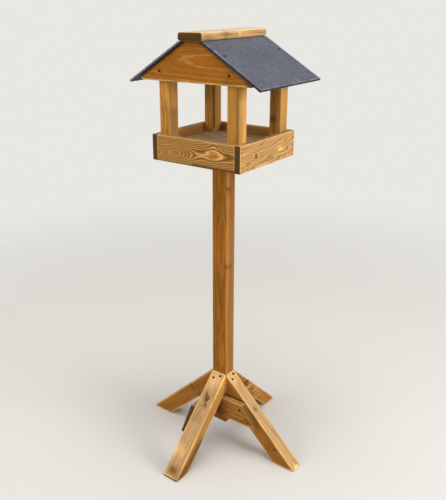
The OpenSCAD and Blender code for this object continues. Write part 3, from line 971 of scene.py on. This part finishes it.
    # Summer wood stands proud and a little glossier, and fibres are furrows
    rough = add(
        tree, "ShaderNodeMath", {0: read["pale"], 1: -0.12, 2: 0.6}, operation="MULTIPLY_ADD")
    proud = add(tree, "ShaderNodeMath", {0: read["pale"], 1: read["dark"]}, operation="SUBTRACT")
    relief = add(
        tree, "ShaderNodeMath", {0: read["fibres"], 1: -6.0, 2: proud}, operation="MULTIPLY_ADD")
    bump = add(tree, "ShaderNodeBump", {"Strength": 0.5, "Distance": 0.15 * MM, "Height": relief})
    set_inputs(tree, shader, {"Base Color": wood, "Roughness": rough,
                              "Specular IOR Level": 0.12, "Normal": bump})
    return material


def riven_slate(s):
    """Natural slate, split and hand dressed: matt blue-grey, cloudy, with pale mica specks.

    Mica is 0.1 mm fine, too small to show, so its specks are drawn 3 mm apart. The split's own
    roughness is 3 mm wide.
    """
    material, tree, shader = new_material("Riven slate")
    grain = add(tree, "ShaderNodeAttribute", out="Vector", attribute_name="grain")
    layers = []
    for size_mm, detail, low, high, strength, colour in (
            (70, 3, 0.35, 0.7, 0.12, s.grit),
            (6, 3, 0.35, 0.7, 0.34, s.edge),
            (3.2, 1, 0.58, 0.7, 0.5, s.grit)):
        cloud = add(
            tree, "ShaderNodeTexNoise", {"Vector": grain, "Scale": 1 / size_mm, "Detail": detail})
        share = add(
            tree, "ShaderNodeMapRange",
            {"Value": cloud, "From Min": low, "From Max": high, "To Max": strength}, **SOFT)
        layers.append((share, colour))
    # pale carries painted light on lit edges as well as spots and bruises; edge carries painted
    # shade on edges and the underside
    for key, colour in (("pale", s.grit), ("edge", s.edge)):
        share = add(tree, "ShaderNodeAttribute", out="Fac", attribute_name=key)
        layers.append((share, colour))
    stone = (*s.face, 1)
    for share, colour in layers:
        stone = add(tree, "ShaderNodeMix", {FACTOR: share, UNDER: stone, OVER: (*colour, 1)},
                    MIXED, data_type="RGBA")
    rough = add(tree, "ShaderNodeTexNoise", {"Vector": grain, "Scale": 1 / 3, "Detail": 4})
    bump = add(tree, "ShaderNodeBump", {"Strength": 0.6, "Distance": 0.3 * MM, "Height": rough})
    set_inputs(tree, shader, {"Base Color": stone, "Roughness": 0.64,
                              "Specular IOR Level": 0.3, "Normal": bump})
    return material


def browned_zinc(f):
    """Zinc-plated steel left outdoors: dull, browned in 1.5 mm spots, with a weak metal glint."""
    material, tree, shader = new_material("Browned zinc plate")
    place = add(tree, "ShaderNodeTexCoord", out="Object")
    mottle = add(
        tree, "ShaderNodeTexNoise", {"Vector": place, "Scale": 1 / (1.5 * MM), "Detail": 3})
    colour = add(
        tree, "ShaderNodeMix",
        {FACTOR: mottle, UNDER: (*f.steel, 1), OVER: (*scaled(f.steel, 0.35), 1)}, MIXED,
        data_type="RGBA")
    rough = add(tree, "ShaderNodeMapRange", {"Value": mottle, "To Min": 0.4, "To Max": 0.75})
    set_inputs(tree, shader, {"Base Color": colour, "Metallic": 0.7, "Roughness": rough})
    return material


# In metres: the floor's radius, and where it starts to thin away and is gone
FLOOR_RADIUS, FADE_START, FADE_END = 4.0, 0.9, 3.0


def studio_floor(studio):
    """Pale matt floor that thins away to the backdrop, so that no edge of it shows."""
    material, tree, shader = new_material("Matt studio floor")
    set_inputs(tree, shader, {"Base Color": (*studio.floor, 1), "Roughness": 0.9})
    place = add(tree, "ShaderNodeTexCoord", out="Object")
    away = add(tree, "ShaderNodeVectorMath", {0: place}, "Value", operation="LENGTH")
    gone = add(tree, "ShaderNodeMapRange",
               {"Value": away, "From Min": FADE_START, "From Max": FADE_END}, **SOFT)
    clear = add(tree, "ShaderNodeBsdfTransparent")
    mixed = add(tree, "ShaderNodeMixShader", {0: gone, 1: shader.outputs["BSDF"], 2: clear})
    set_inputs(tree, tree.nodes["Material Output"], {"Surface": mixed})
    return material


# Studio

def build_camera(studio):
    az, el = studio.azimuth, studio.elevation
    right = Vector((math.cos(az), math.sin(az), 0))
    back = Vector((math.sin(az) * math.cos(el), -math.cos(az) * math.cos(el), math.sin(el)))
    level = Matrix((right, back.cross(right), back)).transposed()
    data = bpy.data.cameras.new("camera")
    data.lens = studio.lens
    data.shift_x, data.shift_y = studio.shift
    camera = new_object("camera", data)
    turn = level @ Matrix.Rotation(studio.roll, 3, "Z")
    camera.matrix_world = Matrix.Translation(studio.camera_at) @ turn.to_4x4()
    bpy.context.scene.camera = camera


# The way to each lamp from the table's middle, and the lamp's width in metres
LAMPS = {"side": ((0.9, 0.15, 0.25), 2.6), "top": ((0.1, -0.1, 1.0), 3.0),
         "fill": ((-0.35, -0.85, 0.4), 3.2)}
LAMP_DISTANCE = 5.0


def build_lamps(studio):
    """Square soft lamps aimed at the table's middle. A share of 1 shows a colour as written."""
    low, high = CAD_BOX
    middle = (Vector(low) + Vector(high)) / 2
    for name, (way, width) in LAMPS.items():
        toward = Vector(way).normalized()
        data = bpy.data.lights.new(name, "AREA")
        data.size = width
        data.energy = getattr(studio, name) * (math.pi * LAMP_DISTANCE) ** 2
        lamp = new_object(name, data)
        lamp.location = middle + toward * LAMP_DISTANCE
        lamp.rotation_euler = toward.to_track_quat("Z", "Y").to_euler()


def build_backdrop(studio):
    """Pale to the eye and to mirrors, and a plain grey light on the object."""
    world = bpy.data.worlds.new("Studio")
    bpy.context.scene.world = world
    world.use_nodes = True
    tree = world.node_tree
    tree.nodes.clear()
    seen = 0.0
    for ray in ("Is Camera Ray", "Is Glossy Ray", "Is Transmission Ray"):
        kind = add(tree, "ShaderNodeLightPath", out=ray)
        seen = add(tree, "ShaderNodeMath", {0: seen, 1: kind}, operation="MAXIMUM")
    pale = add(tree, "ShaderNodeBackground", {"Color": (*studio.backdrop, 1)})
    soft = add(tree, "ShaderNodeBackground", {"Color": (1, 1, 1, 1), "Strength": studio.sky})
    mixed = add(tree, "ShaderNodeMixShader", {0: seen, 1: soft, 2: pale})
    set_inputs(tree, tree.nodes.new("ShaderNodeOutputWorld"), {"Surface": mixed})


def build_floor(studio):
    mesh = bmesh.new()
    bmesh.ops.create_circle(mesh, cap_ends=True, radius=FLOOR_RADIUS, segments=96)
    finish_object(mesh, "studio-floor", studio_floor(studio))


# Operators

class BIRDTABLE_OT_stage(bpy.types.Operator):
    """Make the camera, the lamps, the floor and the backdrop"""

    bl_idname = "birdtable.stage"
    bl_label = "Studio"

    def execute(self, context):
        studio = context.scene.bird_table_studio
        build_camera(studio)
        build_lamps(studio)
        build_backdrop(studio)
        build_floor(studio)
        context.scene.view_settings.view_transform = "Standard"
        return {"FINISHED"}


class BIRDTABLE_OT_frame(bpy.types.Operator):
    """Make the post, its four legs and the four struts"""

    bl_idname = "birdtable.frame"
    bl_label = "Post, legs and struts"

    def execute(self, context):
        t = context.scene.bird_table_timber
        legs = stained_pine(t, Finish(
            "Planed pine legs, stain worn off above", t.leg, t.bleached, 0.95,
            pale=0.12, dark=0.3, blotch=0.4, worn=0.75))
        struts = stained_pine(t, Finish(
            "Sawn pine struts, brown stain", t.strut, t.bleached, 0.5,
            dark=0.3, blotch=0.45, worn=0.4))
        post = stained_pine(t, Finish(
            "Planed pine post, brown stain", t.post, t.bleached, 0.6,
            pale=0.12, dark=0.24, blotch=0.4))
        build_timber("post", 0.8 * t.arris, post)
        for side in SIDES:
            build_timber("leg_" + side, t.arris, legs)
            build_timber("strut_" + side, 0.7 * t.arris, struts)
        return {"FINISHED"}


class BIRDTABLE_OT_tray(bpy.types.Operator):
    """Make the tray's boards, its floor and the bearers under it"""

    bl_idname = "birdtable.tray"
    bl_label = "Tray"

    def execute(self, context):
        t = context.scene.bird_table_timber
        boards = stained_pine(t, Finish(
            "Planed pine boards, brown stain, strong grain", t.tray, t.bleached, 0.9,
            pale=0.95, pale_width=0.4, dark=0.75, dark_width=0.4, worn=0.6))
        bearers = stained_pine(t, Finish("Sawn pine bearers, thin stain", t.bearer, t.bleached))
        floor = stained_pine(t, Finish(
            "Bare pine floor, weathered", t.floor, t.floor, pale=0.1, dark=0.15))
        for side in SIDES:
            build_timber("tray_" + side, 0.7 * t.arris, boards)
        for side in ("left", "right"):
            build_timber("bearer_" + side, 0.8 * t.arris, bearers)
        build_timber("tray_floor", 0.5 * t.arris, floor)
        return {"FINISHED"}


class BIRDTABLE_OT_shelter(bpy.types.Operator):
    """Make the uprights, the gables and the ridge cap"""

    bl_idname = "birdtable.shelter"
    bl_label = "Uprights, gables and ridge cap"

    def execute(self, context):
        t = context.scene.bird_table_timber
        uprights = stained_pine(t, Finish(
            "Planed pine uprights, brown stain", t.upright, t.bleached, 0.9,
            pale=0.22, dark=0.4, blotch=0.5))
        # Strong arris wear on the gables also paints the highlight their lower arris catches from
        # below
        gables = stained_pine(t, Finish(
            "Planed pine gables, orange-brown stain", t.gable, t.bleached, 0.3,
            pale=0.34, pale_width=0.24, dark=0.16, dark_width=0.26, worn=0.85))
        cap = stained_pine(t, Finish(
            "Planed pine cap, bleached on top", t.cap, t.bleached_cap, 1.0,
            dark=0.35, blotch=0.8, worn=0.4))
        for end in ("front", "back"):
            for side in ("left", "right"):
                build_timber(f"upright_{end}_{side}", 0.8 * t.arris, uprights)
            build_timber("gable_" + end, t.arris, gables)
        build_timber("ridge_cap", t.cap_arris, cap)
        return {"FINISHED"}


class BIRDTABLE_OT_slates(bpy.types.Operator):
    """Make the two roofing slates"""

    bl_idname = "birdtable.slates"
    bl_label = "Slates"

    def execute(self, context):
        settings = context.scene.bird_table_slate
        stone = riven_slate(settings)
        for side in ("left", "right"):
            build_slate("slate_" + side, settings, stone)
        return {"FINISHED"}


class BIRDTABLE_OT_fixings(bpy.types.Operator):
    """Seat the screws and nails with Geometry Nodes"""

    bl_idname = "birdtable.fixings"
    bl_label = "Screws and nails"

    def execute(self, context):
        settings = context.scene.bird_table_fixing
        steel = browned_zinc(settings)
        tree, sockets = seating_tree()
        for seed, node in enumerate(
                ("leg_screws", "strut_screws", "floor_screws", "gable_screws", "cap_screws",
                 "tray_nails", "slate_nails"), 1):
            build_fixings(node, tree, sockets, settings, steel, seed)
        return {"FINISHED"}


class BIRDTABLE_PT_panel(bpy.types.Panel):
    """Lists the bird table's operators and settings"""

    bl_idname = "BIRDTABLE_PT_panel"
    bl_label = "Bird table"
    bl_space_type = "VIEW_3D"
    bl_region_type = "UI"
    bl_category = "Bird table"

    def draw(self, context):
        for operator in OPERATORS:
            self.layout.operator(operator.bl_idname)
        for name, group in SETTINGS.items():
            box = self.layout.box()
            values = getattr(context.scene, name)
            for field in group.__annotations__:
                box.prop(values, field)


SETTINGS = {
    "bird_table_timber": BirdTableTimber,
    "bird_table_slate": BirdTableSlate,
    "bird_table_fixing": BirdTableFixing,
    "bird_table_studio": BirdTableStudio,
}
OPERATORS = (
    BIRDTABLE_OT_stage, BIRDTABLE_OT_frame, BIRDTABLE_OT_tray,
    BIRDTABLE_OT_shelter, BIRDTABLE_OT_slates, BIRDTABLE_OT_fixings,
)
CLASSES = (*SETTINGS.values(), *OPERATORS, BIRDTABLE_PT_panel)


def register():
    for cls in CLASSES:
        bpy.utils.register_class(cls)
    for name, group in SETTINGS.items():
        setattr(bpy.types.Scene, name, bpy.props.PointerProperty(type=group))


def unregister():
    for name in SETTINGS:
        delattr(bpy.types.Scene, name)
    for cls in reversed(CLASSES):
        bpy.utils.unregister_class(cls)


def main():
    register()
    bpy.ops.birdtable.stage()
    bpy.ops.birdtable.frame()
    bpy.ops.birdtable.tray()
    bpy.ops.birdtable.shelter()
    bpy.ops.birdtable.slates()
    bpy.ops.birdtable.fixings()
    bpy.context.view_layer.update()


if __name__ == "__main__":
    main()
